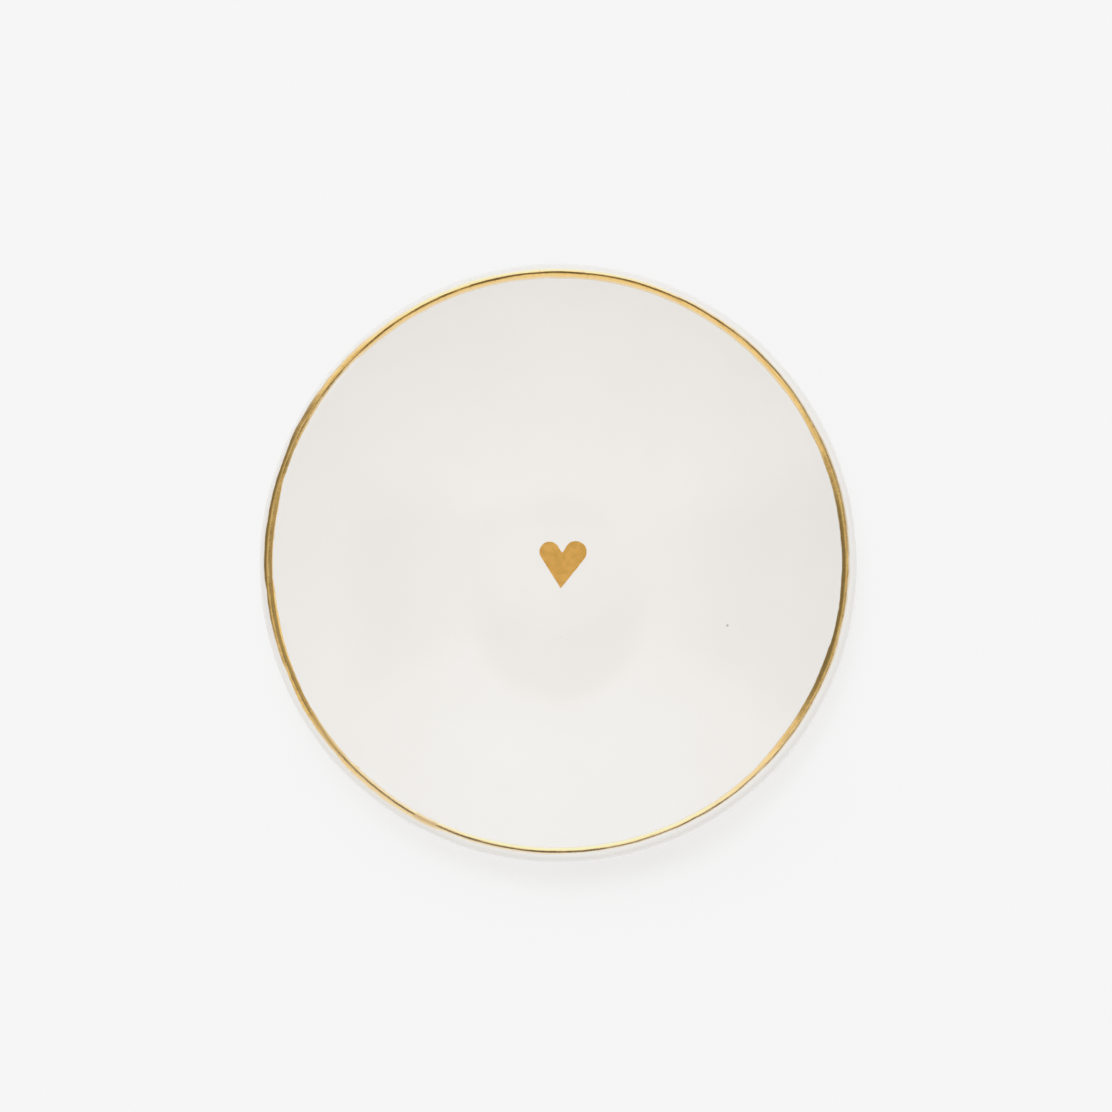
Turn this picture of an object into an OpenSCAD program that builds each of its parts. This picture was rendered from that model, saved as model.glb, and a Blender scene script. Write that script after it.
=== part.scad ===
// Round porcelain trinket dish with a gold lip line and a gold heart in the well.
//
// The dish is a shallow coupe on a foot ring. It is built up the way it is fired: a clay body,
// a clear glaze over everything but the standing edge of the foot, and gold fired on last.
// The section is all lines and arcs, so a skin of any thickness is the same section drawn further in.
// Origin: middle of the standing edge, on the table. +Z is up, and the heart points to -Y.

/* [Dish] */
// Overall diameter over the glaze
dish_d = 100; // [90:1:120]
// Height of the glazed lip above the table
dish_h = 16; // [14:0.5:20]
// Wall thickness over the glaze, the same from the well to the lip
wall_t = 3.2; // [2.8:0.1:4]
// Radius of the flat middle of the well
well_r = 10; // [8:0.5:12]

/* [Foot ring] */
// Outside diameter of the foot ring
foot_d = 58; // [50:1:62]
// Width of the foot ring over the glaze
foot_w = 3.4; // [3:0.1:4.4]
// Space between the table and the underside of the well
foot_lift = 1.2; // [0.8:0.1:2]
// Rounding of the standing edge
foot_edge_r = 0.6; // [0.3:0.1:0.8]
// Hollow rounding where the foot meets the bowl
foot_fillet_r = 1; // [0.6:0.1:1.2]

/* [Glaze] */
// Thickness of the fired glaze
glaze_t = 0.2; // [0.1:0.05:0.3]
// Height of the foot that is wiped clean of glaze
bare_h = 1.1; // [0.9:0.1:1.4]

/* [Gold] */
// Thickness of the gold film
gold_t = 0.05; // [0.04:0.01:0.1]
// Width of the line painted over the lip, seen from above
line_w = 1.7; // [1.2:0.1:2]
// Width of the heart across both lobes
heart_w = 8; // [6:0.1:10]
// How far the heart sits to the right of the dish's axis
heart_x = 0.8; // [0:0.05:1.5]
// How far the heart sits in front of the dish's axis
heart_front = 0.25; // [0:0.05:1]

/* [Hidden] */

turn_fn = 180;
well_steps = 24;
lip_steps = 24;
wall_steps = 18;
fillet_steps = 6;

// The wall's middle line runs level to well_r, then along one arc up to the centre of the lip.
lip_r = wall_t / 2;
lip = [dish_d / 2 - lip_r, dish_h - lip_r];
well_mid_z = foot_lift + wall_t / 2;
sweep = 2 * atan((lip.y - well_mid_z) / (lip.x - well_r));
mid_r = (lip.x - well_r) / sin(sweep);
bowl = [well_r, well_mid_z + mid_r];
well_top_z = foot_lift + wall_t;

foot_out = foot_d / 2;
foot_in = foot_out - foot_w;

clay_colour = [0.93, 0.91, 0.87];
glaze_colour = [0.94, 0.93, 0.9];
gold_colour = [0.83, 0.62, 0.27];

// Points along an arc, from one angle to another.
function arc(centre, r, from, to, steps) =
    [for (i = [0:steps]) let(a = from + (to - from) * i / steps) centre + r * [cos(a), sin(a)]];

// An arc that goes on from a point already there.
function arc_on(centre, r, from, to, steps) =
    let(points = arc(centre, r, from, to, steps)) [for (i = [1:steps]) points[i]];

function backward(points) = [for (i = [len(points) - 1:-1:0]) points[i]];

// Centre of the hollow rounding between the foot and the bowl. side is 1 outside, -1 inside.
function fillet_centre(side, skin) =
    let(
        r = foot_fillet_r + skin,
        x = (side == 1 ? foot_out - skin : foot_in + skin) + side * r
    )
    [x, bowl.y - sqrt(pow(mid_r + lip_r - skin + r, 2) - pow(x - well_r, 2))];

// Direction from the bowl's centre to where that rounding meets the bowl.
function fillet_angle(side, skin) =
    let(c = fillet_centre(side, skin)) atan2(c.y - bowl.y, c.x - bowl.x);

// Each face of the section, drawn in by skin. Together they go out along the well, over the lip,
// down the outside, and up and across the underside to the axis.
function well_face(skin) = concat(
    [[0, well_top_z - skin]],
    arc(bowl, mid_r - lip_r + skin, -90, sweep - 90, well_steps)
);

function lip_face(skin) = arc_on(lip, lip_r - skin, 90 + sweep, sweep - 90, lip_steps);

function outer_face(skin, low) =
    let(a = fillet_angle(1, skin))
    concat(
        arc_on(bowl, mid_r + lip_r - skin, sweep - 90, a, wall_steps),
        arc_on(fillet_centre(1, skin), foot_fillet_r + skin, a + 180, 180, fillet_steps),
        [[foot_out - skin, low]]
    );

function under_face(skin, low) =
    let(a = fillet_angle(-1, skin))
    concat(
        [[foot_in + skin, low]],
        arc(fillet_centre(-1, skin), foot_fillet_r + skin, 0, a + 180, fillet_steps),
        arc_on(bowl, mid_r + lip_r - skin, a, -90, wall_steps),
        [[0, foot_lift + skin]]
    );

function top_to_foot(skin, low) = concat(well_face(skin), lip_face(skin), outer_face(skin, low));

// The foot's standing edge, rounded on both sides.
function standing_edge(skin) = concat(
    arc_on([foot_out - skin - foot_edge_r, foot_edge_r], foot_edge_r, 0, -90, fillet_steps),
    arc([foot_in + skin + foot_edge_r, foot_edge_r], foot_edge_r, -90, -180, fillet_steps)
);

module turned(points) {
    rotate_extrude($fn = turn_fn) polygon(points);
}

// The casting: bowl, lip and foot ring in one, a glaze's thickness inside the finished size.
module porcelain_body() {
    under = under_face(glaze_t, foot_edge_r);
    color(clay_colour)
        turned(concat(
            top_to_foot(glaze_t, foot_edge_r),
            standing_edge(glaze_t),
            [for (i = [1:len(under) - 1]) under[i]]
        ));
}

// The glaze over the well, the lip, the outside and the foot's outer side.
module dish_glaze() {
    color(glaze_colour)
        turned(concat(top_to_foot(0, bare_h), backward(top_to_foot(glaze_t, bare_h))));
}

// The glaze under the well, inside the foot ring.
module foot_well_glaze() {
    color(glaze_colour)
        turned(concat(under_face(0, bare_h), backward(under_face(glaze_t, bare_h))));
}

// A thin film of gold over the crown of the lip.
module gold_lip_line() {
    half = min(asin(line_w / 2 / lip_r), sweep - 1);
    color(gold_colour)
        turned(concat(
            arc(lip, lip_r, 90 + half, 90 - half, fillet_steps * 2),
            arc(lip, lip_r + gold_t, 90 - half, 90 + half, fillet_steps * 2)
        ));
}

// The heart on a unit width: two lobes, each joined by straight lines to the notch and the point.
left_lobe = [-0.287, 0.274];
left_lobe_r = 0.213;
right_lobe = [0.268, 0.268];
right_lobe_r = 0.232;
notch = [-0.017, 0.248];
point = [-0.049, -0.5];

// Where a straight line from p touches a lobe. side is 1 or -1.
function touch(p, lobe, r, side) =
    let(a = atan2(p.y - lobe.y, p.x - lobe.x) + side * acos(r / norm(p - lobe)))
    lobe + r * [cos(a), sin(a)];

module heart_outline() {
    translate(left_lobe) circle(r = left_lobe_r, $fn = turn_fn);
    translate(right_lobe) circle(r = right_lobe_r, $fn = turn_fn);
    polygon([
        point,
        touch(point, right_lobe, right_lobe_r, 1),
        right_lobe,
        touch(notch, right_lobe, right_lobe_r, -1),
        notch,
        touch(notch, left_lobe, left_lobe_r, 1),
        left_lobe,
        touch(point, left_lobe, left_lobe_r, -1)
    ]);
}

module gold_heart() {
    color(gold_colour)
        translate([heart_x, -heart_front, well_top_z])
            linear_extrude(gold_t)
                scale(heart_w)
                    heart_outline();
}

porcelain_body();
dish_glaze();
foot_well_glaze();
gold_lip_line();
gold_heart();
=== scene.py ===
# A round porcelain trinket dish: clay body, clear glaze, gold lip line and gold heart.
#
# Each layer is turned from the same section of the dish, so the glaze lies on the clay and the gold
# lies on the glaze. Then all of them take one warp, because they went through the kiln as one.

import math

import bpy
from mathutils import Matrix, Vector


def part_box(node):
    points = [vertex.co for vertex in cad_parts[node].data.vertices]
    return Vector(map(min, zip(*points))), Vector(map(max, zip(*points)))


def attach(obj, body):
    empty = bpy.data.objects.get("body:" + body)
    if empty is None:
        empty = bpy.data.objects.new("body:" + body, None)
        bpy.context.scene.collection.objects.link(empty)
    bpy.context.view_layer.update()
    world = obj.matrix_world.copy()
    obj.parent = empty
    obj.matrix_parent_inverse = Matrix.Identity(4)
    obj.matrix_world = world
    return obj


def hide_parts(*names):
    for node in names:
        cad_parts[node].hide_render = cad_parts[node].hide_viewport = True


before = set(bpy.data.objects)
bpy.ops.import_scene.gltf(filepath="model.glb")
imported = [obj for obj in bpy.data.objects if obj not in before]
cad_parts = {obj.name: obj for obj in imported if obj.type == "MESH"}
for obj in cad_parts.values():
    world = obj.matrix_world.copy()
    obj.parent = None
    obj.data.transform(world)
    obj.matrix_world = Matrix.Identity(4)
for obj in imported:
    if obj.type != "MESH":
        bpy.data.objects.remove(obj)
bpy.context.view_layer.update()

MM = 0.001

# The dish's section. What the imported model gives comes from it; the rest is the potter's own.
GLAZE_LOW, GLAZE_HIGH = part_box("dish_glaze")
RIM_R, RIM_TOP, GLAZE_LINE = GLAZE_HIGH.x, GLAZE_HIGH.z, GLAZE_LOW.z
HEART_LOW, HEART_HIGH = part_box("gold_heart")
WELL_TOP = HEART_LOW.z
FOOT_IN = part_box("foot_well_glaze")[1].x
WALL = 3.2 * MM
GLAZE = 0.2 * MM
WELL_R = 10 * MM
FOOT_W = 3.4 * MM
FOOT_EDGE = 0.6 * MM
FOOT_FILLET = 1.0 * MM

FOOT_OUT = FOOT_IN + FOOT_W
LIP_R = WALL / 2
LIP_X = RIM_R - LIP_R
LIP_Z = RIM_TOP - LIP_R
WELL_MID = WELL_TOP - LIP_R
SWEEP = 2 * math.degrees(math.atan2(LIP_Z - WELL_MID, LIP_X - WELL_R))
MID_R = (LIP_X - WELL_R) / math.sin(math.radians(SWEEP))
BOWL = (WELL_R, WELL_MID + MID_R)

# Steps round the axis: of the turned layers, and of the gold line, whose edges are finer.
AROUND = 480
LINE_AROUND = 1800
# Points nearer than this are one point.
WELD = 0.5e-6

# How far the kiln moved the rim: a slow sway, and small lumps of about LUMP_SIZE.
SWAY = 0.5 * MM
LUMPS = 0.16 * MM
LUMP_SIZE = 7 * MM
# The foot and the flat of the well keep their shape. The warp grows from this share of the rim's
# radius out to the rim.
WARP_FROM = 0.62
# How far the wiped ends of the glaze wander up and down, and how far up from there they take it.
GLAZE_CREEP = 0.7 * MM
CREEP_REACH = 1.2 * MM

# The gold line: where its edges lie round the lip, in degrees from straight out, and how far they
# wander.
INNER_EDGE, OUTER_EDGE, EDGE_WANDER = 125, 72.5, 14
# How thick the brushed and the printed gold are.
LINE_FILM = 0.02 * MM
HEART_FILM = 0.03 * MM

# Where the brush was lifted, overlapped or drifted: angle and half width in degrees, second coat,
# and how far the inner and the outer edge spread there, in radians of lip angle.
STROKE_MARKS = (
    (242.6, 2.4, 1.0, 0.03, 0.01),
    (225.5, 0.35, 0.0, 0.12, 0.05),
    (238.1, 0.4, 0.2, 0.08, 0.03),
    (216.5, 5.2, 0.55, 0.0, 0.0),
    (27.0, 1.2, 0.3, 0.05, 0.02),
    (0.0, 25.0, 0.0, 0.0, 0.09),
    (143.0, 13.0, 0.0, 0.0, 0.16),
    (150.0, 17.0, 0.0, -0.2, 0.0),
    (195.0, 11.0, 0.0, 0.08, -0.11),
    (234.0, 12.0, 0.0, 0.0, 0.2),
    (330.0, 14.0, 0.0, 0.12, 0.08),
)
# The line was banded off centre: each edge leans this much, in radians of lip angle, toward the
# well at the right and the front, and away from it at the left and the back.
INNER_LEAN = (0.12, -0.03, 0.0)
OUTER_LEAN = (0.20, -0.17, 0.0)
# Where in the noise each edge takes its wander from.
INNER_SEED = (5.3, 1.9, 0.0)
OUTER_SEED = (0.7, 8.2, 4.0)

# An iron speck that came up through the glaze, in millimetres.
IRON_SPECK = (28.5, -10.5)

# How bright the lights are, the paper on its light table, and the white beyond the paper.
KEY_GLOW = 0.32
TOP_GLOW = 5.95
SIDE_GLOW = 2.0
FLOOR_GLOW = 0.27
BEYOND_FLOOR = 1.4
FLOOR_HALF = 3.0

# The studio's boards and the gap between them. Directions are shares of a unit vector.
GAP_TURN = 0.15
GAP_HALF = 0.1
BOARD_EDGE = (0.27, 0.62)
DOORWAY = (-0.56, -0.26)
RIGHT_WALL = (0.55, 0.75)
DOORWAY_DARK, GAP_LEFT, GAP_RIGHT, RIGHT_BRIGHT = 0.22, 0.66, 0.36, 1.0
LOW_DARK = 0.6
BOARD_FRONT, BOARD_BACK = 0.96, 1.05
CAMERA_ARM = (0.0, 0.18, 0.0)
CAMERA_SIZE = (0.13, 0.21)
CAMERA_DARK = 0.08

# The camera: its height above the lip, how far off the dish's axis it stands, and how wide it sees
# at the lip, as a share of the dish's diameter.
CAMERA_HIGH = 0.8
CAMERA_ASIDE = (-0.40 * MM, 1.22 * MM)
VIEW_SHARE = 1.859

# The camera's tone curve: light in, paper tone out.
TONE_TOP = 1.1
TONE = ((0.0, 0.0), (0.4, 0.4), (0.8, 0.8), (0.88, 0.872), (0.95, 0.908), (1.1, 0.923))


# ---------------------------------------------------------------------------------------------
# Node helpers
# ---------------------------------------------------------------------------------------------

def add(tree, kind, inputs=None, **settings):
    """A node of that kind, with its settings made and each input either linked or filled in."""
    node = tree.nodes.new(kind)
    for name, value in settings.items():
        setattr(node, name, value)
    for key, value in (inputs or {}).items():
        if isinstance(value, bpy.types.NodeSocket):
            tree.links.new(value, node.inputs[key])
        else:
            node.inputs[key].default_value = value
    return node


def maths(tree, operation, *values, clamp=False):
    node = add(tree, "ShaderNodeMath", dict(enumerate(values)), operation=operation)
    node.use_clamp = clamp
    return node.outputs[0]


def vector_maths(tree, operation, *values):
    inputs = dict(enumerate(values))
    if operation == "SCALE":
        inputs = {0: values[0], "Scale": values[1]}
    node = add(tree, "ShaderNodeVectorMath", inputs, operation=operation)
    return node.outputs["Value" if operation == "LENGTH" else "Vector"]


def ramp(tree, value, low, high, to_low=0.0, to_high=1.0):
    """value eased from to_low to to_high as it goes from low to high."""
    node = add(tree, "ShaderNodeMapRange", interpolation_type="SMOOTHSTEP", inputs={
        "Value": value, "From Min": low, "From Max": high, "To Min": to_low, "To Max": to_high,
    })
    return node.outputs["Result"]


def noise(tree, vector, scale, detail=2.0, rough=0.5, output="Fac"):
    node = add(tree, "ShaderNodeTexNoise", inputs={
        "Vector": vector, "Scale": scale, "Detail": detail, "Roughness": rough,
    })
    return node.outputs[output]


def mixed(tree, fac, a, b):
    """Number a where fac is 0 and b where it is 1."""
    node = add(tree, "ShaderNodeMix", {0: fac, 2: a, 3: b}, data_type="FLOAT")
    return node.outputs[0]


def blend(tree, fac, a, b):
    """Colour a where fac is 0 and b where it is 1."""
    node = add(tree, "ShaderNodeMix", data_type="RGBA")
    for socket, value in ((node.inputs[0], fac), (node.inputs[6], a), (node.inputs[7], b)):
        if isinstance(value, bpy.types.NodeSocket):
            tree.links.new(value, socket)
        else:
            socket.default_value = value
    return node.outputs[2]


def xyz(tree, vector):
    return add(tree, "ShaderNodeSeparateXYZ", {0: vector}).outputs


def flattened(tree, vector):
    """The vector with its height taken away."""
    parts = xyz(tree, vector)
    return add(tree, "ShaderNodeCombineXYZ", {"X": parts["X"], "Y": parts["Y"]}).outputs[0]


def upward(tree, height):
    return add(tree, "ShaderNodeCombineXYZ", {"Z": height}).outputs[0]


def dot(tree, a, b):
    node = add(tree, "ShaderNodeVectorMath", {0: a, 1: b}, operation="DOT_PRODUCT")
    return node.outputs["Value"]


def new_group(name, inputs, outputs=(("Geometry", "Geometry"),)):
    """An empty Geometry Nodes tree with named sockets, and its input and output nodes."""
    tree = bpy.data.node_groups.new(name, "GeometryNodeTree")
    for socket, kind in inputs:
        tree.interface.new_socket(socket, in_out="INPUT", socket_type="NodeSocket" + kind)
    for socket, kind in outputs:
        tree.interface.new_socket(socket, in_out="OUTPUT", socket_type="NodeSocket" + kind)
    return tree, add(tree, "NodeGroupInput").outputs, add(tree, "NodeGroupOutput").inputs


def finish_tree(tree, mesh, material, result, smooth=True):
    """Closes the mesh's seams and poles, gives it its material and hands it on."""
    mesh = add(tree, "GeometryNodeMergeByDistance", {0: mesh, "Distance": WELD}).outputs[0]
    if smooth:
        mesh = add(tree, "GeometryNodeSetShadeSmooth", {0: mesh}).outputs[0]
    whole = add(tree, "GeometryNodeRealizeInstances", {0: mesh}).outputs[0]
    painted = add(tree, "GeometryNodeSetMaterial", {0: whole, "Material": material})
    tree.links.new(painted.outputs[0], result["Geometry"])


# ---------------------------------------------------------------------------------------------
# The section
# ---------------------------------------------------------------------------------------------

def arc(centre, radius, start, end, steps):
    """Points (out, up) along an arc of the section, from one angle to another in degrees."""
    angles = [math.radians(start + (end - start) * i / steps) for i in range(steps + 1)]
    return [(centre[0] + radius * math.cos(a), centre[1] + radius * math.sin(a)) for a in angles]


def line(start, end, steps):
    return [(start[0] + (end[0] - start[0]) * i / steps, start[1] + (end[1] - start[1]) * i / steps)
            for i in range(steps + 1)]


def fillet(side, skin):
    """Centre, radius and side of the hollow rounding at the foot. side is 1 outside, -1 inside."""
    radius = FOOT_FILLET + skin
    wall = FOOT_OUT - skin if side == 1 else FOOT_IN + skin
    x = wall + side * radius
    z = BOWL[1] - math.sqrt((MID_R + LIP_R - skin + radius) ** 2 - (x - WELL_R) ** 2)
    return (x, z), radius, wall


def bowl_angle(centre):
    """The angle round the bowl's centre at which a fillet touches the bowl."""
    return math.degrees(math.atan2(centre[1] - BOWL[1], centre[0] - WELL_R))


def well_face(skin, steps):
    """From the axis out to the lip."""
    top = WELL_TOP - skin
    return (line((0, top), (WELL_R, top), max(2, steps // 5))
            + arc(BOWL, MID_R - LIP_R + skin, -90, SWEEP - 90, steps)[1:])


def lip_face(skin, steps):
    """Over the lip, from the well to the outside."""
    return arc((LIP_X, LIP_Z), LIP_R - skin, 90 + SWEEP, SWEEP - 90, steps)[1:]


def outer_face(skin, steps, low):
    """From the lip down the outside and the outer side of the foot."""
    centre, radius, wall = fillet(1, skin)
    touch = bowl_angle(centre)
    return (arc(BOWL, MID_R + LIP_R - skin, SWEEP - 90, touch, steps)[1:]
            + arc(centre, radius, touch + 180, 180, max(3, steps // 3))[1:]
            + line((wall, centre[1]), (wall, low), max(2, steps // 6))[1:])


def under_face(skin, steps, low):
    """From low on the inner side of the foot, up and across the underside to the axis."""
    centre, radius, wall = fillet(-1, skin)
    touch = bowl_angle(centre)
    under = WELL_TOP - WALL + skin
    return (line((wall, low), (wall, centre[1]), max(2, steps // 6))
            + arc(centre, radius, 0, touch + 180, max(3, steps // 3))[1:]
            + arc(BOWL, MID_R + LIP_R - skin, touch, -90, steps)[1:]
            + line((WELL_R, under), (0, under), max(2, steps // 3))[1:])


def clay_section():
    """The clay body, all the way round its section, with its rounded standing edge."""
    left, right = FOOT_IN + GLAZE, FOOT_OUT - GLAZE
    return (well_face(GLAZE, 20) + lip_face(GLAZE, 12) + outer_face(GLAZE, 20, FOOT_EDGE)
            + arc((right - FOOT_EDGE, FOOT_EDGE), FOOT_EDGE, 0, -90, 8)[1:]
            + line((right - FOOT_EDGE, 0), (left + FOOT_EDGE, 0), 8)[1:]
            + arc((left + FOOT_EDGE, FOOT_EDGE), FOOT_EDGE, -90, -180, 8)[1:]
            + under_face(GLAZE, 20, FOOT_EDGE)[1:])


def dish_glaze_section():
    """The glaze over the dish: its face, the rounded end of the coat, then back along the clay."""
    end = (FOOT_OUT - GLAZE, GLAZE_LINE + GLAZE)
    back = well_face(GLAZE, 12) + lip_face(GLAZE, 8) + outer_face(GLAZE, 10, GLAZE_LINE)
    return (well_face(0, 44) + lip_face(0, 40) + outer_face(0, 30, end[1])
            + arc(end, GLAZE, 0, -90, 5)[1:] + back[::-1][1:])


def foot_well_section():
    """The glaze under the dish: out along the clay, the end of the coat, then back on its face."""
    end = (FOOT_IN + GLAZE, GLAZE_LINE + GLAZE)
    back = under_face(GLAZE, 10, GLAZE_LINE)
    return back[::-1] + arc(end, GLAZE, -90, -180, 5)[1:] + under_face(0, 30, end[1])[1:]


# ---------------------------------------------------------------------------------------------
# Shapes that follow a rule
# ---------------------------------------------------------------------------------------------

def grid_index(tree, across, around):
    """A grid of across by around points, and the fields that give each point's own two numbers."""
    grid = add(tree, "GeometryNodeMeshGrid", {"Vertices X": across, "Vertices Y": around})
    index = add(tree, "GeometryNodeInputIndex").outputs[0]
    whole = add(tree, "FunctionNodeIntegerMath", {0: index, 1: around}, operation="DIVIDE_FLOOR")
    rest = add(tree, "FunctionNodeIntegerMath", {0: index, 1: around}, operation="MODULO")
    return grid.outputs["Mesh"], whole.outputs[0], rest.outputs[0]


def outward(tree, step, steps):
    """The unit vector out from the axis at one step of a turn."""
    turn = maths(tree, "MULTIPLY", maths(tree, "DIVIDE", step, steps), math.tau)
    return add(tree, "ShaderNodeCombineXYZ", {
        "X": maths(tree, "COSINE", turn), "Y": maths(tree, "SINE", turn),
    }).outputs[0]


def kiln_warp():
    """How far the kiln moves a point: the rim goes slightly out of round, wavy and lumpy."""
    tree, given, result = new_group("kiln_warp", (
        ("Position", "Vector"), ("Rim Radius", "Float"),
    ), (("Offset", "Vector"),))
    place = given["Position"]
    flat = flattened(tree, place)
    out = vector_maths(tree, "NORMALIZE", flat)
    reach = maths(tree, "DIVIDE", vector_maths(tree, "LENGTH", flat), given["Rim Radius"])
    slow = noise(tree, vector_maths(tree, "ADD", out, (3.1, 0.4, 7.7)), 0.8, 0, output="Color")
    lumps = noise(tree, vector_maths(tree, "SCALE", place, 1 / LUMP_SIZE), 1.0, 1, output="Color")
    move = vector_maths(tree, "ADD",
                        vector_maths(tree, "SCALE", centred(tree, slow), SWAY),
                        vector_maths(tree, "SCALE", centred(tree, lumps), LUMPS))
    move = vector_maths(tree, "SCALE", move, ramp(tree, reach, WARP_FROM, 1.0))
    move = xyz(tree, move)
    sideways = vector_maths(tree, "SCALE", out, move["X"])
    total = vector_maths(tree, "ADD", sideways, upward(tree, move["Y"]))
    tree.links.new(total, result["Offset"])
    return tree


def warped(tree, warp, place, rim_radius):
    """The place, moved as the kiln moves it."""
    moved = add(tree, "GeometryNodeGroup", node_tree=warp)
    tree.links.new(place, moved.inputs["Position"])
    tree.links.new(rim_radius, moved.inputs["Rim Radius"])
    return vector_maths(tree, "ADD", place, moved.outputs[0])


def centred(tree, colour):
    """A noise colour moved so that its middle is nought."""
    return vector_maths(tree, "SUBTRACT", colour, (0.5, 0.5, 0.5))


def wheel(warp):
    """Turns a section round the axis, warps it, and closes its seam and its poles."""
    tree, given, result = new_group("turn_on_the_wheel", (
        ("Section", "Geometry"), ("Steps Around", "Int"), ("Rim Radius", "Float"),
        ("Glaze Creep", "Float"), ("Material", "Material"),
    ))
    count = add(tree, "GeometryNodeAttributeDomainSize", {0: given["Section"]}, component="MESH")
    around = add(tree, "FunctionNodeIntegerMath", {0: given["Steps Around"], 1: 1}, operation="ADD")
    grid, station, step = grid_index(tree, count.outputs["Point Count"], around.outputs[0])

    def sampled(kind, value):
        return add(tree, "GeometryNodeSampleIndex", {
            "Geometry": given["Section"], "Value": value, "Index": station,
        }, data_type=kind, domain="POINT").outputs[0]

    def kept(name):
        named = add(tree, "GeometryNodeInputNamedAttribute", {"Name": name}, data_type="FLOAT")
        return sampled("FLOAT", named.outputs[0])

    point = xyz(tree, sampled("FLOAT_VECTOR", add(tree, "GeometryNodeInputPosition").outputs[0]))
    out = outward(tree, step, given["Steps Around"])
    place = vector_maths(tree, "ADD", vector_maths(tree, "SCALE", out, point["X"]),
                         upward(tree, point["Z"]))
    place = warped(tree, warp, place, given["Rim Radius"])
    creep = maths(tree, "SUBTRACT", noise(tree, out, 5.0, 2), 0.5)
    creep = maths(tree, "MULTIPLY", maths(tree, "MULTIPLY", creep, given["Glaze Creep"]), kept("end"))
    place = vector_maths(tree, "ADD", place, upward(tree, creep))
    shaped = add(tree, "GeometryNodeSetPosition", {"Geometry": grid, "Position": place}).outputs[0]
    finish_tree(tree, shaped, given["Material"], result)
    return tree


def line_edge(tree, out, base, wander, seed, lean_toward, spread):
    """The lip angle of one edge of the gold line, which leans, wanders and spreads."""
    slow = noise(tree, vector_maths(tree, "ADD", out, seed), 2.2, 1)
    fine = noise(tree, vector_maths(tree, "ADD", out, seed), 22.0, 2)
    swing = maths(tree, "ADD", maths(tree, "SUBTRACT", slow, 0.5),
                  maths(tree, "MULTIPLY", maths(tree, "SUBTRACT", fine, 0.5), 0.6))
    angle = maths(tree, "ADD", base, maths(tree, "MULTIPLY", swing, wander))
    return maths(tree, "ADD", maths(tree, "ADD", angle, dot(tree, out, lean_toward)), spread)


def place_on_lip(tree, given, out, angle, lift):
    """The point at a lip angle, lifted off the lip. Past the lip's arc it runs on down the well."""
    radius = maths(tree, "ADD", given["Lip Radius"], lift)
    on_lip = maths(tree, "MINIMUM", angle, given["Lip End"])
    past = maths(tree, "MULTIPLY", maths(tree, "SUBTRACT", angle, on_lip), given["Lip Radius"])
    sine, cosine = maths(tree, "SINE", on_lip), maths(tree, "COSINE", on_lip)
    x = maths(tree, "SUBTRACT", maths(tree, "MULTIPLY", radius, cosine),
              maths(tree, "MULTIPLY", past, sine))
    z = maths(tree, "ADD", maths(tree, "MULTIPLY", radius, sine),
              maths(tree, "MULTIPLY", past, cosine))
    x = maths(tree, "ADD", given["Lip Circle"], x)
    z = maths(tree, "ADD", given["Lip Height"], z)
    return vector_maths(tree, "ADD", vector_maths(tree, "SCALE", out, x), upward(tree, z))


def lip_line(warp):
    """A film of gold brushed over the lip. Its edges wander, and its strokes overlap."""
    tree, given, result = new_group("brush_the_lip_line", (
        ("Geometry", "Geometry"), ("Steps Around", "Int"), ("Steps Across", "Int"),
        ("Lip Circle", "Float"), ("Lip Height", "Float"), ("Lip Radius", "Float"),
        ("Lip End", "Float"), ("Film", "Float"), ("Inner Edge", "Float"), ("Outer Edge", "Float"),
        ("Wander", "Float"), ("Rim Radius", "Float"), ("Material", "Material"),
    ))
    around = add(tree, "FunctionNodeIntegerMath", {0: given["Steps Around"], 1: 1}, operation="ADD")
    across = add(tree, "FunctionNodeIntegerMath", {0: given["Steps Across"], 1: 1}, operation="ADD")
    grid, station, step = grid_index(tree, across.outputs[0], around.outputs[0])
    out = outward(tree, step, given["Steps Around"])
    # The film's own section is one turn, from its inner edge over the top to its outer edge.
    turn = maths(tree, "MULTIPLY", maths(tree, "DIVIDE", station, given["Steps Across"]), math.tau)
    toward_well, rise = maths(tree, "COSINE", turn), maths(tree, "SINE", turn)

    coat, inner_spread, outer_spread = stroke_marks(tree, out)
    outer_spread = maths(tree, "MULTIPLY", outer_spread, -1.0)
    wander = given["Wander"]
    inner = line_edge(tree, out, given["Inner Edge"], wander, INNER_SEED, INNER_LEAN, inner_spread)
    outer = line_edge(tree, out, given["Outer Edge"], wander, OUTER_SEED, OUTER_LEAN, outer_spread)
    middle = maths(tree, "MULTIPLY", maths(tree, "ADD", inner, outer), 0.5)
    half = maths(tree, "MULTIPLY", maths(tree, "SUBTRACT", inner, outer), 0.5)
    angle = maths(tree, "ADD", middle, maths(tree, "MULTIPLY", half, toward_well))
    dome = maths(tree, "POWER", maths(tree, "ABSOLUTE", rise), 0.4)
    film = maths(tree, "MULTIPLY", maths(tree, "MULTIPLY", dome, maths(tree, "SIGN", rise)),
                 maths(tree, "MULTIPLY", given["Film"], maths(tree, "ADD", coat, 1.0)))
    place = warped(tree, warp, place_on_lip(tree, given, out, angle, film), given["Rim Radius"])
    shaped = add(tree, "GeometryNodeSetPosition", {"Geometry": grid, "Position": place}).outputs[0]
    # "across" goes from -1 at the outer edge of the line to 1 at the inner edge.
    for name, value in (("across", toward_well), ("second_coat", coat)):
        shaped = add(tree, "GeometryNodeStoreNamedAttribute", {
            "Geometry": shaped, "Name": name, "Value": value,
        }, data_type="FLOAT", domain="POINT").outputs[0]
    finish_tree(tree, shaped, given["Material"], result)
    return tree


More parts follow.
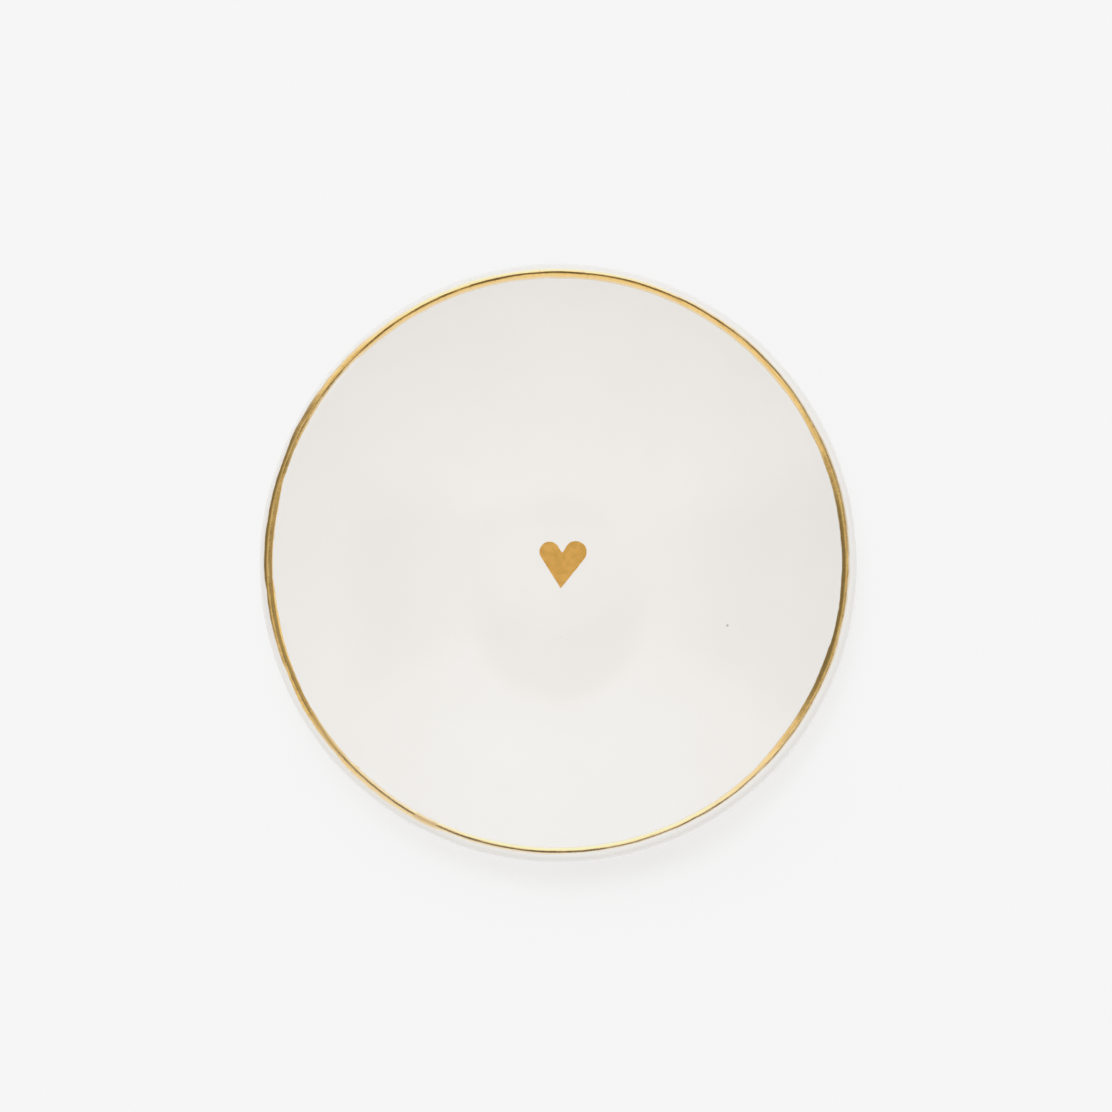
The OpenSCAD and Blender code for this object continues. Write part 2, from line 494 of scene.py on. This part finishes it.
def stroke_marks(tree, out):
    """How much of a second coat there is, and how far each edge spreads, round the lip."""
    totals = [0.0, 0.0, 0.0]
    for angle, half, *amounts in STROKE_MARKS:
        toward = (math.cos(math.radians(angle)), math.sin(math.radians(angle)), 0.0)
        here = ramp(tree, dot(tree, out, toward), math.cos(math.radians(half * 1.15)),
                    math.cos(math.radians(half * 0.8)))
        totals = [maths(tree, "ADD", total, maths(tree, "MULTIPLY", here, amount))
                  for total, amount in zip(totals, amounts)]
    return totals


def transfer():
    """Lays a filled outline down as a thin film with a slightly ragged edge."""
    tree, given, result = new_group("lay_the_transfer", (
        ("Outline", "Geometry"), ("Height", "Float"), ("Film", "Float"), ("Sunk", "Float"),
        ("Ragged", "Float"), ("Material", "Material"),
    ))
    even = add(tree, "GeometryNodeResampleCurve", {"Curve": given["Outline"], "Length": 0.06 * MM},
               mode="LENGTH")
    place = add(tree, "GeometryNodeInputPosition").outputs[0]
    fine = noise(tree, vector_maths(tree, "SCALE", place, 1 / MM), 1.6, 3, output="Color")
    shift = vector_maths(tree, "SCALE", centred(tree, fine), given["Ragged"])
    ragged = add(tree, "GeometryNodeSetPosition", {"Geometry": even.outputs[0], "Offset": shift})
    filled = add(tree, "GeometryNodeFillCurve", {0: ragged.outputs[0]}, mode="TRIANGLES")
    # Filling flattens the curve onto the table, so the face is lifted back up to the well.
    lift = upward(tree, maths(tree, "SUBTRACT", given["Height"], given["Sunk"]))
    face = add(tree, "GeometryNodeSetPosition", {
        "Geometry": filled.outputs[0], "Offset": lift,
    }).outputs[0]
    raised = add(tree, "GeometryNodeExtrudeMesh", {
        "Mesh": face, "Offset Scale": maths(tree, "ADD", given["Film"], given["Sunk"]),
        "Individual": False,
    }, mode="FACES")
    under = add(tree, "GeometryNodeFlipFaces", {0: face})
    both = add(tree, "GeometryNodeJoinGeometry")
    tree.links.new(raised.outputs["Mesh"], both.inputs[0])
    tree.links.new(under.outputs[0], both.inputs[0])
    finish_tree(tree, both.outputs[0], given["Material"], result, smooth=False)
    return tree


def made_from(name, data, tree, **inputs):
    """A plain mesh piece: data put through the tree once, with its named inputs set."""
    start = bpy.data.objects.new(name, data)
    bpy.context.scene.collection.objects.link(start)
    modifier = start.modifiers.new(tree.name, "NODES")
    modifier.node_group = tree
    sockets = {s.name: s.identifier for s in tree.interface.items_tree if s.in_out == "INPUT"}
    for socket, value in inputs.items():
        modifier[sockets[socket.replace("_", " ")]] = value
    bpy.context.view_layer.update()
    evaluated = start.evaluated_get(bpy.context.evaluated_depsgraph_get())
    mesh = bpy.data.meshes.new_from_object(evaluated)
    bpy.data.objects.remove(start)
    mesh.name = name
    piece = bpy.data.objects.new(name, mesh)
    bpy.context.scene.collection.objects.link(piece)
    return piece


def section_mesh(name, points):
    """A section as loose points, each with how near it is to the end of a coat of glaze."""
    mesh = bpy.data.meshes.new(name)
    mesh.from_pydata([(x, 0.0, z) for x, z in points], [], [])
    end = mesh.attributes.new("end", "FLOAT", "POINT")
    for i, (x, z) in enumerate(points):
        on_foot = x > FOOT_IN - 0.001 * MM and z < WELL_TOP
        end.data[i].value = max(0.0, 1 - (z - GLAZE_LINE) / CREEP_REACH) if on_foot else 0.0
    return mesh


def heart_outline():
    """The heart's outline, as a closed flat curve: two lobes, a notch and a point."""
    left, left_r = (-0.287, 0.274), 0.213
    right, right_r = (0.268, 0.268), 0.232
    notch, point = (-0.017, 0.248), (-0.049, -0.5)

    def touch(p, lobe, r, side):
        """The angle round a lobe at which a straight line from p touches it."""
        away = math.degrees(math.acos(r / math.dist(p, lobe)))
        return math.degrees(math.atan2(p[1] - lobe[1], p[0] - lobe[0])) + side * away

    def lobe_arc(lobe, r, start, end):
        return arc(lobe, r, start, start + (end - start) % 360, 40)

    outline = (lobe_arc(right, right_r, touch(point, right, right_r, 1), touch(notch, right, right_r, -1))
               + [notch]
               + lobe_arc(left, left_r, touch(notch, left, left_r, 1), touch(point, left, left_r, -1))
               + [point])
    width = HEART_HIGH.x - HEART_LOW.x
    low = [min(spot[i] for spot in outline) for i in (0, 1)]
    curve = bpy.data.curves.new("heart_outline", "CURVE")
    curve.dimensions = "3D"
    spline = curve.splines.new("POLY")
    spline.points.add(len(outline) - 1)
    for spot, (x, y) in zip(spline.points, outline):
        spot.co = (HEART_LOW.x + (x - low[0]) * width, HEART_LOW.y + (y - low[1]) * width, 0.0, 1.0)
    spline.use_cyclic_u = True
    return curve


# ---------------------------------------------------------------------------------------------
# Materials
# ---------------------------------------------------------------------------------------------

def new_material(name):
    """A material, its Principled shader, and this object's own coordinates in millimetres."""
    material = bpy.data.materials.new(name)
    material.use_nodes = True
    tree = material.node_tree
    shader = next(n for n in tree.nodes if n.type == "BSDF_PRINCIPLED")
    coordinates = add(tree, "ShaderNodeTexCoord").outputs["Object"]
    place = vector_maths(tree, "SCALE", coordinates, 1 / MM)
    return material, tree, shader, place


def bump(tree, shader, height, depth, socket="Normal"):
    """Raises the surface by up to depth where height is 1."""
    node = add(tree, "ShaderNodeBump", {"Height": height, "Distance": depth, "Strength": 1.0})
    tree.links.new(node.outputs[0], shader.inputs[socket])
    return node


def speckle(tree, place, spacing, size, share):
    """1 inside round specks: one at most in each cell, in that share of the cells."""
    cells = add(tree, "ShaderNodeTexVoronoi", {"Vector": place, "Scale": 1 / spacing})
    chosen = maths(tree, "LESS_THAN", add(tree, "ShaderNodeSeparateColor", {
        0: cells.outputs["Color"],
    }).outputs[0], share)
    near = ramp(tree, cells.outputs["Distance"], size / spacing, size * 0.6 / spacing)
    return maths(tree, "MULTIPLY", near, chosen)


def glaze_colour(tree, place):
    """A little creamy where it pools, thin and grey over the lip, with painted shade on the outside just
    below the lip, and a few specks.
    """
    cloud = ramp(tree, noise(tree, place, 0.07, 3), 0.35, 0.65)
    colour = blend(tree, cloud, (0.872, 0.838, 0.798, 1), (0.862, 0.828, 0.787, 1))
    top = RIM_TOP / MM
    height = xyz(tree, place)["Z"]
    thin = ramp(tree, height, top - 1.6, top - 0.2)
    colour = blend(tree, maths(tree, "MULTIPLY", thin, 0.4), colour, (0.85, 0.825, 0.79, 1))
    # The outside of the dish just below the lip is painted greyer: painted shade, not a change in the
    # glaze.
    lip_x = LIP_X / MM
    outside = vector_maths(tree, "LENGTH", flattened(tree, place))
    painted_lip_shade = maths(tree, "MULTIPLY", ramp(tree, outside, lip_x, lip_x + 0.9),
                    ramp(tree, height, top - 4.5, top - 2.0))
    colour = blend(tree, painted_lip_shade, colour, (0.825, 0.80, 0.765, 1))
    out = math.hypot(*IRON_SPECK) * MM
    well_height = BOWL[1] - math.sqrt((MID_R - LIP_R) ** 2 - (out - WELL_R) ** 2)
    from_speck = vector_maths(tree, "SUBTRACT", place, (*IRON_SPECK, well_height / MM))
    iron = ramp(tree, vector_maths(tree, "LENGTH", from_speck), 0.3, 0.12)
    tiny = speckle(tree, place, 5.0, 0.07, 0.10)
    marks = maths(tree, "MAXIMUM", maths(tree, "MULTIPLY", iron, 0.5), maths(tree, "MULTIPLY", tiny, 0.6))
    return blend(tree, marks, colour, (0.20, 0.13, 0.08, 1))


def white_glaze():
    """Clear glaze over white clay: glossy, faintly wavy, with a few pinholes."""
    material, tree, shader, place = new_material("clear_glaze_on_white")
    tree.links.new(glaze_colour(tree, place), shader.inputs["Base Color"])
    rough = ramp(tree, noise(tree, place, 0.9, 4), 0.2, 0.8, 0.18, 0.24)
    tree.links.new(rough, shader.inputs["Roughness"])
    shader.inputs["IOR"].default_value = 1.5
    shader.inputs["Coat Weight"].default_value = 1.0
    shader.inputs["Coat Roughness"].default_value = 0.05
    shader.inputs["Coat IOR"].default_value = 1.5
    shader.inputs["Specular IOR Level"].default_value = 0.1
    wave = noise(tree, place, 0.22, 1)
    peel = noise(tree, place, 1.3, 2)
    pits = speckle(tree, vector_maths(tree, "ADD", place, (31.0, 7.0, 3.0)), 6.0, 0.12, 0.12)
    height = maths(tree, "ADD", wave, maths(tree, "MULTIPLY", peel, 0.02))
    height = maths(tree, "SUBTRACT", height, maths(tree, "MULTIPLY", pits, 0.8))
    gloss = bump(tree, shader, height, 0.02 * MM)
    tree.links.new(gloss.outputs[0], shader.inputs["Coat Normal"])
    return material


def bare_clay():
    """Fired clay with no glaze: matt, finely sandy, and a little grey where it stands."""
    material, tree, shader, place = new_material("bare_fired_clay")
    cloud = noise(tree, place, 0.35, 4)
    colour = blend(tree, ramp(tree, cloud, 0.3, 0.7), (0.80, 0.765, 0.70, 1), (0.72, 0.685, 0.62, 1))
    grains = noise(tree, place, 9.0, 3, 0.7)
    height = xyz(tree, place)["Z"]
    scuffed = maths(tree, "MULTIPLY", ramp(tree, height, 0.25, 0.02),
                    ramp(tree, noise(tree, place, 1.4, 5, 0.7), 0.5, 0.72))
    colour = blend(tree, maths(tree, "MULTIPLY", scuffed, 0.6), colour, (0.42, 0.40, 0.37, 1))
    sand = speckle(tree, place, 1.1, 0.06, 0.25)
    colour = blend(tree, maths(tree, "MULTIPLY", sand, 0.45), colour, (0.35, 0.27, 0.2, 1))
    tree.links.new(colour, shader.inputs["Base Color"])
    tree.links.new(ramp(tree, grains, 0.2, 0.8, 0.78, 0.95), shader.inputs["Roughness"])
    bump(tree, shader, grains, 0.05 * MM)
    return material


def attribute(tree, name):
    return add(tree, "ShaderNodeAttribute", attribute_name=name).outputs["Fac"]


def brush_marks(tree, place):
    """Marks that run far round the lip and are narrow across it, wherever the lip wanders to."""
    flat = flattened(tree, place)
    reach = vector_maths(tree, "LENGTH", flat)
    across = add(tree, "ShaderNodeCombineXYZ", {
        "X": maths(tree, "MULTIPLY", reach, 4.0),
        "Z": maths(tree, "MULTIPLY", xyz(tree, place)["Z"], 4.0),
    }).outputs[0]
    along = vector_maths(tree, "SCALE", vector_maths(tree, "NORMALIZE", flat), 9.0)
    return noise(tree, vector_maths(tree, "ADD", along, across), 1.6, 3)


def gold_colour(tree, place, streak, mottle, across):
    """The lustre's colour, with painted highlights at the back and front, and how far it has thinned out
    to bare glaze.
    """
    colour = blend(tree, ramp(tree, streak, 0.35, 0.65), (0.94, 0.635, 0.222, 1), (0.83, 0.52, 0.15, 1))
    dull = maths(tree, "MULTIPLY", ramp(tree, mottle, 0.5, 0.7), 0.5)
    colour = blend(tree, dull, colour, (0.74, 0.435, 0.115, 1))
    # The back, off the middle of the line, is painted paler and the front yellower: painted highlights
    # where the boards reflect in the gold, partly a thinner coat there.
    rim = RIM_R / MM
    parts = xyz(tree, place)
    back = ramp(tree, parts["Y"], rim * 0.25, rim * 0.75)
    front = ramp(tree, parts["Y"], rim * -0.4, rim * -0.85)
    right = ramp(tree, parts["X"], rim * 0.6, rim * 0.95)
    off_middle = ramp(tree, maths(tree, "ABSOLUTE", across), 0.15, 0.5)
    back_highlight = maths(tree, "MULTIPLY", maths(tree, "MULTIPLY", back, off_middle), 0.6)
    colour = blend(tree, back_highlight, colour, (0.86, 0.67, 0.41, 1))
    colour = blend(tree, maths(tree, "MULTIPLY", front, 0.8), colour, (0.90, 0.69, 0.39, 1))
    # The film thins out to its edges, sooner at the front, and on the outside at the right. The sooner
    # thinning at the back and front is partly painted highlight.
    solid_to = maths(tree, "SUBTRACT", 0.72, maths(
        tree, "ADD", maths(tree, "MULTIPLY", back, 0.15), maths(tree, "MULTIPLY", front, 0.35)))
    solid_out = maths(tree, "SUBTRACT", solid_to, maths(tree, "MULTIPLY", right, 0.4))
    ragged = maths(tree, "MULTIPLY", maths(tree, "SUBTRACT", streak, 0.5), 0.35)
    inside = ramp(tree, maths(tree, "ADD", across, ragged), solid_to, 1.0)
    outside = ramp(tree, maths(tree, "SUBTRACT", ragged, across), solid_out, 1.0)
    thin = maths(tree, "MAXIMUM", inside, outside)
    return blend(tree, thin, colour, (0.87, 0.80, 0.69, 1)), thin


def brushed_gold():
    """Gold lustre on the lip: bright, brushed along the line, thin and pale at its edges."""
    material, tree, shader, place = new_material("brushed_gold_lustre")
    streak = brush_marks(tree, place)
    mottle = noise(tree, place, 1.2, 3)
    colour, thin = gold_colour(tree, place, streak, mottle, attribute(tree, "across"))
    tree.links.new(colour, shader.inputs["Base Color"])
    solid = maths(tree, "SUBTRACT", 1.0, maths(tree, "MULTIPLY", thin, 0.9))
    tree.links.new(solid, shader.inputs["Metallic"])
    shader.inputs["Coat Weight"].default_value = 0.6
    shader.inputs["Coat Roughness"].default_value = 0.12
    rough = ramp(tree, streak, 0.25, 0.75, 0.13, 0.22)
    second = maths(tree, "MULTIPLY", attribute(tree, "second_coat"), 0.22)
    rough = maths(tree, "ADD", rough, second)
    rough = maths(tree, "ADD", rough, maths(tree, "MULTIPLY", thin, 0.1))
    tree.links.new(rough, shader.inputs["Roughness"])
    height = maths(tree, "ADD", maths(tree, "MULTIPLY", streak, 0.6), mottle)
    bump(tree, shader, height, 0.015 * MM)
    return material


def printed_gold():
    """The heart's gold: an even satin transfer with a very fine grain."""
    material, tree, shader, place = new_material("satin_gold_transfer")
    mottle = noise(tree, place, 0.8, 3)
    grain = noise(tree, place, 14.0, 2)
    colour = blend(tree, ramp(tree, mottle, 0.3, 0.7), (0.96, 0.55, 0.145, 1), (0.84, 0.465, 0.112, 1))
    tree.links.new(colour, shader.inputs["Base Color"])
    shader.inputs["Metallic"].default_value = 1.0
    tree.links.new(ramp(tree, grain, 0.2, 0.8, 0.36, 0.48), shader.inputs["Roughness"])
    height = maths(tree, "ADD", maths(tree, "MULTIPLY", grain, 0.3), mottle)
    bump(tree, shader, height, 0.01 * MM)
    return material


def pale_paper():
    """The pale floor the dish stands on: paper on a light table, so it glows a little."""
    material, tree, shader, place = new_material("pale_paper")
    fibre = noise(tree, place, 0.5, 4)
    colour = blend(tree, fibre, (0.74, 0.74, 0.74, 1), (0.75, 0.75, 0.75, 1))
    tree.links.new(colour, shader.inputs["Base Color"])
    shader.inputs["Emission Color"].default_value = (1, 1, 1, 1)
    shader.inputs["Emission Strength"].default_value = FLOOR_GLOW
    shader.inputs["Roughness"].default_value = 0.9
    shader.inputs["Specular IOR Level"].default_value = 0.0
    return material


# ---------------------------------------------------------------------------------------------
# The pieces
# ---------------------------------------------------------------------------------------------

def turned_layers(warp):
    """The clay and the two coats of glaze, each with the node it stands for and its slot."""
    wheel_tree = wheel(warp)
    glaze = white_glaze()
    made = []
    for name, section, creep, material, node, slot in (
        ("clay_body", clay_section(), 0.0, bare_clay(), "porcelain_body", "bisque"),
        ("glaze_over_dish", dish_glaze_section(), GLAZE_CREEP, glaze, "dish_glaze", "clear_glaze"),
        ("glaze_under_dish", foot_well_section(), GLAZE_CREEP, glaze, "foot_well_glaze", "clear_glaze"),
    ):
        piece = made_from(name, section_mesh(name + "_section", section), wheel_tree,
                          Steps_Around=AROUND, Rim_Radius=RIM_R, Glaze_Creep=creep, Material=material)
        made.append((piece, node, slot))
    return made


def gold_films(warp):
    """The brushed line and the printed heart, each with the node it stands for and its slot."""
    line_piece = made_from("gold_line", bpy.data.meshes.new("line_start"), lip_line(warp),
                           Steps_Around=LINE_AROUND, Steps_Across=24,
                           Lip_Circle=LIP_X, Lip_Height=LIP_Z, Lip_Radius=LIP_R,
                           Lip_End=math.radians(90 + SWEEP), Film=LINE_FILM,
                           Inner_Edge=math.radians(INNER_EDGE), Outer_Edge=math.radians(OUTER_EDGE),
                           Wander=math.radians(EDGE_WANDER), Rim_Radius=RIM_R,
                           Material=brushed_gold())
    heart = made_from("printed_heart", heart_outline(), transfer(), Height=WELL_TOP,
                      Film=HEART_FILM, Sunk=HEART_FILM, Ragged=0.16 * MM, Material=printed_gold())
    return [(line_piece, "gold_lip_line", "gold_lustre"), (heart, "gold_heart", "gold_lustre")]


def make_dish():
    warp = kiln_warp()
    for piece, node, slot in turned_layers(warp) + gold_films(warp):
        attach(piece, "root")
        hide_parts(node)


# ---------------------------------------------------------------------------------------------
# The stage
# ---------------------------------------------------------------------------------------------

def make_floor():
    half = FLOOR_HALF
    mesh = bpy.data.meshes.new("floor")
    mesh.from_pydata([(-half, -half, 0), (half, -half, 0), (half, half, 0), (-half, half, 0)], [],
                     [(0, 1, 2, 3)])
    mesh.materials.append(pale_paper())
    floor = bpy.data.objects.new("floor", mesh)
    bpy.context.scene.collection.objects.link(floor)


def softbox(name, off_zenith, toward, distance, size, glow, soft=0.3):
    """A rectangular soft light aimed at the dish, fading out over the share of it that is soft.

    toward is its compass direction in degrees, and glow is how bright its face is.
    """
    light = bpy.data.lights.new(name, "AREA")
    light.shape = "RECTANGLE"
    light.size, light.size_y = size
    # Blender's area light sends out pi times less than its power over its area.
    light.energy = glow * math.pi * size[0] * size[1]
    light.use_nodes = True
    tree = light.node_tree
    across = xyz(tree, add(tree, "ShaderNodeNewGeometry").outputs["Parametric"])
    fade = 1.0
    for side in (across["X"], across["Y"]):
        rise = ramp(tree, side, 0.0, soft)
        fall = ramp(tree, side, 1.0, 1.0 - soft)
        fade = maths(tree, "MULTIPLY", fade, maths(tree, "MULTIPLY", rise, fall))
    shown = next(n for n in tree.nodes if n.type == "EMISSION")
    tree.links.new(fade, shown.inputs["Strength"])
    lamp = bpy.data.objects.new(name, light)
    tilt, turn = math.radians(off_zenith), math.radians(toward)
    lamp.location = Vector((math.sin(tilt) * math.cos(turn), math.sin(tilt) * math.sin(turn),
                            math.cos(tilt))) * distance
    lamp.rotation_euler = (-lamp.location).to_track_quat("-Z", "Y").to_euler()
    lamp.visible_camera = False
    bpy.context.scene.collection.objects.link(lamp)
    return lamp


def studio_walls(tree):
    """How bright the studio is in each direction.

    Two white boards lean over the dish from front and back. The gap between them is narrow
    overhead and opens out to both sides, onto a dark doorway at the left. The camera and its arm
    hang in front of the back board.
    """
    toward = xyz(tree, add(tree, "ShaderNodeTexCoord").outputs["Generated"])
    aside = maths(tree, "ABSOLUTE", toward["X"])
    across = maths(tree, "SUBTRACT", toward["Y"], maths(tree, "MULTIPLY", aside, GAP_TURN))
    slope = maths(tree, "DIVIDE", maths(tree, "ABSOLUTE", across), maths(tree, "ADD", aside, GAP_HALF))
    on_board = ramp(tree, slope, *BOARD_EDGE)
    left = ramp(tree, toward["X"], *DOORWAY, DOORWAY_DARK, GAP_LEFT)
    right = ramp(tree, toward["X"], *RIGHT_WALL, GAP_RIGHT, RIGHT_BRIGHT)
    gap = mixed(tree, ramp(tree, toward["X"], -0.05, 0.1), left, right)
    board = ramp(tree, toward["Y"], -0.4, 0.4, BOARD_FRONT, BOARD_BACK)
    sideways = add(tree, "ShaderNodeCombineXYZ", {"X": toward["X"], "Y": toward["Y"]}).outputs[0]
    off_camera = vector_maths(tree, "LENGTH", vector_maths(tree, "SUBTRACT", sideways, CAMERA_ARM))
    camera = ramp(tree, off_camera, *CAMERA_SIZE, CAMERA_DARK, 1.0)
    camera = maths(tree, "MAXIMUM", camera, maths(tree, "LESS_THAN", toward["Z"], 0.0))
    low = ramp(tree, toward["Z"], 0.05, 0.4, LOW_DARK, 1.0)
    walls = mixed(tree, on_board, gap, board)
    return maths(tree, "MULTIPLY", walls, maths(tree, "MULTIPLY", camera, low))


def light_the_dish():
    key = softbox("key_softbox", 46, 92, 1.0, (1.0, 0.9), KEY_GLOW, soft=0.2)
    key.data.color = (0.75, 1.0, 1.15)
    softbox("overhead_softbox", 17, 108, 1.2, (0.5, 0.42), TOP_GLOW).visible_glossy = False
    softbox("side_softbox", 60, 165, 1.2, (0.9, 0.7), SIDE_GLOW).visible_glossy = False
    world = bpy.data.worlds.new("studio")
    bpy.context.scene.world = world
    world.use_nodes = True
    tree = world.node_tree
    shown = next(n for n in tree.nodes if n.type == "BACKGROUND")
    shown.inputs["Color"].default_value = (1, 1, 1, 1)
    seen = add(tree, "ShaderNodeLightPath").outputs["Is Camera Ray"]
    strength = mixed(tree, seen, studio_walls(tree), BEYOND_FLOOR)
    tree.links.new(strength, shown.inputs["Strength"])


def set_tone_curve():
    """The camera's tone: straight up to the pale tones, then rolling off to a paper white."""
    view = bpy.context.scene.view_settings
    view.view_transform = "Standard"
    view.look = "None"
    view.use_curve_mapping = True
    curve = view.curve_mapping
    curve.white_level = (TONE_TOP, TONE_TOP, TONE_TOP)
    curve.use_clip = True
    line = curve.curves[3]
    while len(line.points) < len(TONE):
        line.points.new(0.5, 0.5)
    for point, (light_in, light_out) in zip(line.points, TONE):
        point.location = (light_in / TONE_TOP, light_out)
    curve.update()


def aim_camera():
    """Straight down, about a millimetre off the dish's axis."""
    scene = bpy.context.scene
    camera = bpy.data.cameras.new("camera")
    camera.sensor_width = 36.0
    camera.lens = camera.sensor_width * CAMERA_HIGH / (2 * RIM_R * VIEW_SHARE)
    standing = bpy.data.objects.new("camera", camera)
    standing.location = (*CAMERA_ASIDE, LIP_Z + CAMERA_HIGH)
    scene.collection.objects.link(standing)
    scene.camera = standing


aim_camera()
set_tone_curve()
make_dish()
make_floor()
light_the_dish()
